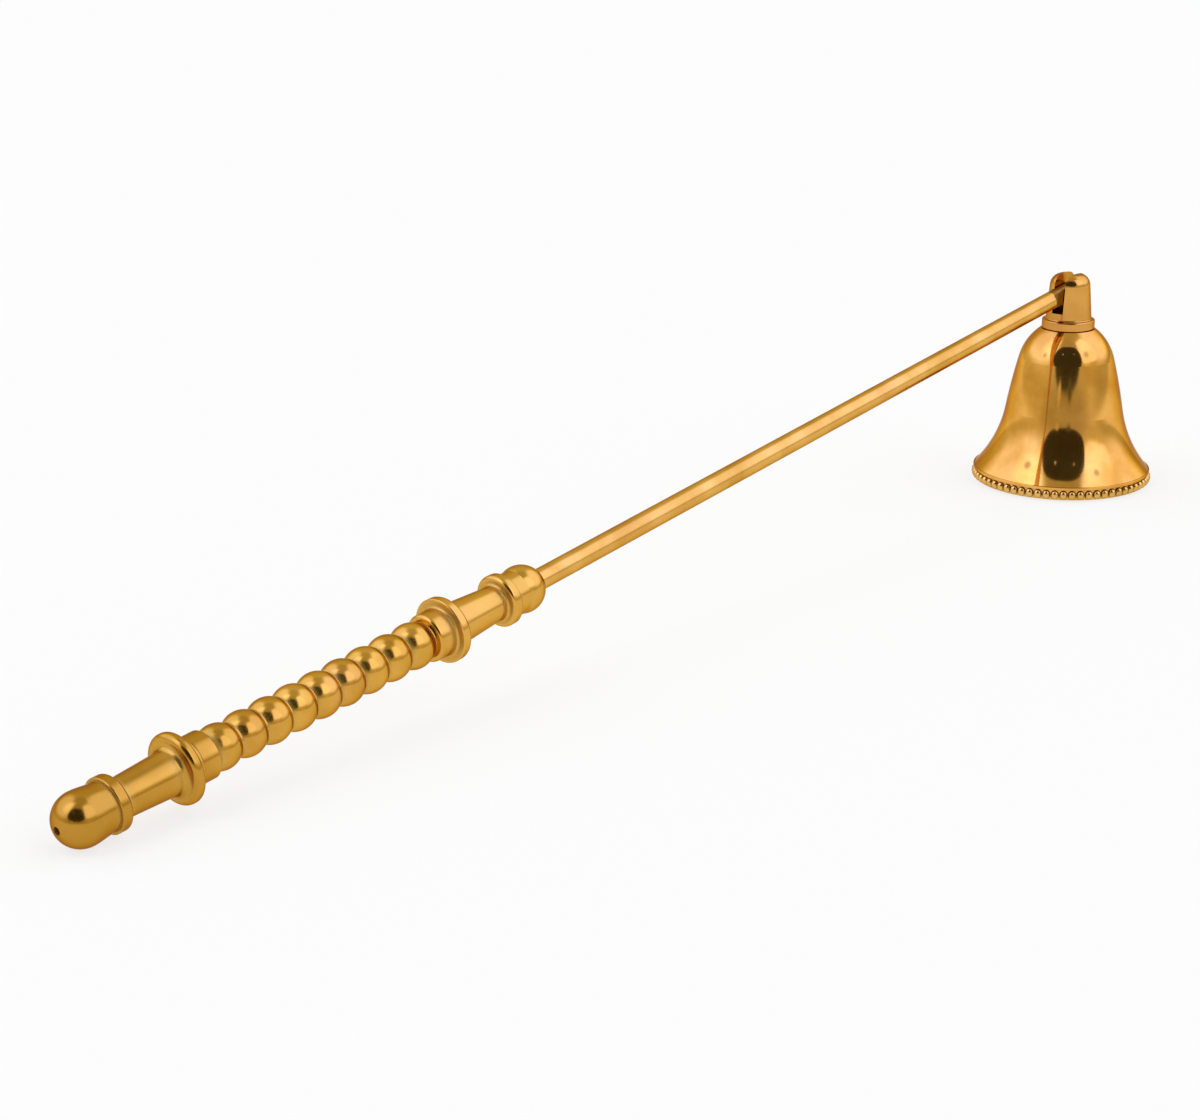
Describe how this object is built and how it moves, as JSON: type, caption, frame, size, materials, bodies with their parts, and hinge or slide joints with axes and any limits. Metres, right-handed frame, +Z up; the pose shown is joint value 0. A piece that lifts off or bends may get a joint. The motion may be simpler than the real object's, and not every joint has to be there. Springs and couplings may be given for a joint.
{
  "type": "candle snuffer",
  "caption": "Candle snuffer: a flared bell with a beaded rim, hinged on a long thin rod that ends in a turned and beaded handle with a domed pommel.",
  "frame": {"origin": "centre of the bell's mouth, in the plane of the lip that stands on the table", "axes": "+Z up along the bell's axis, -X from the hinge towards the handle, Y along the hinge pin"},
  "size_m": [0.3047, 0.0402, 0.0474],
  "materials": {
    "bell_brass": "polished, with light tarnish",
    "beading_brass": "polished, dark between the beads",
    "yoke_brass": "polished",
    "fixing_brass": "dull",
    "rod_brass": "drawn and polished",
    "handle_brass": "turned and polished",
    "stud_steel": "plain"
  },
  "bodies": {
    "arm": {"rod": "rod_brass", "ferrule": "handle_brass", "ferrule_stud": "stud_steel", "grip": "handle_brass", "pommel_stud": "stud_steel", "pommel": "handle_brass"},
    "bell": {"bell": "bell_brass", "rim_beading": "beading_brass", "yoke": "yoke_brass", "hinge_pin": "yoke_brass", "crown_washer": "fixing_brass", "crown_nut": "fixing_brass"}
  },
  "joints": [
    {"name": "bell_swing", "type": "hinge", "parent": "arm", "child": "bell", "pos_m": [0, 0, 0.0435], "axis": [0, -1, 0], "range_deg": [-15, 210]}
  ]
}
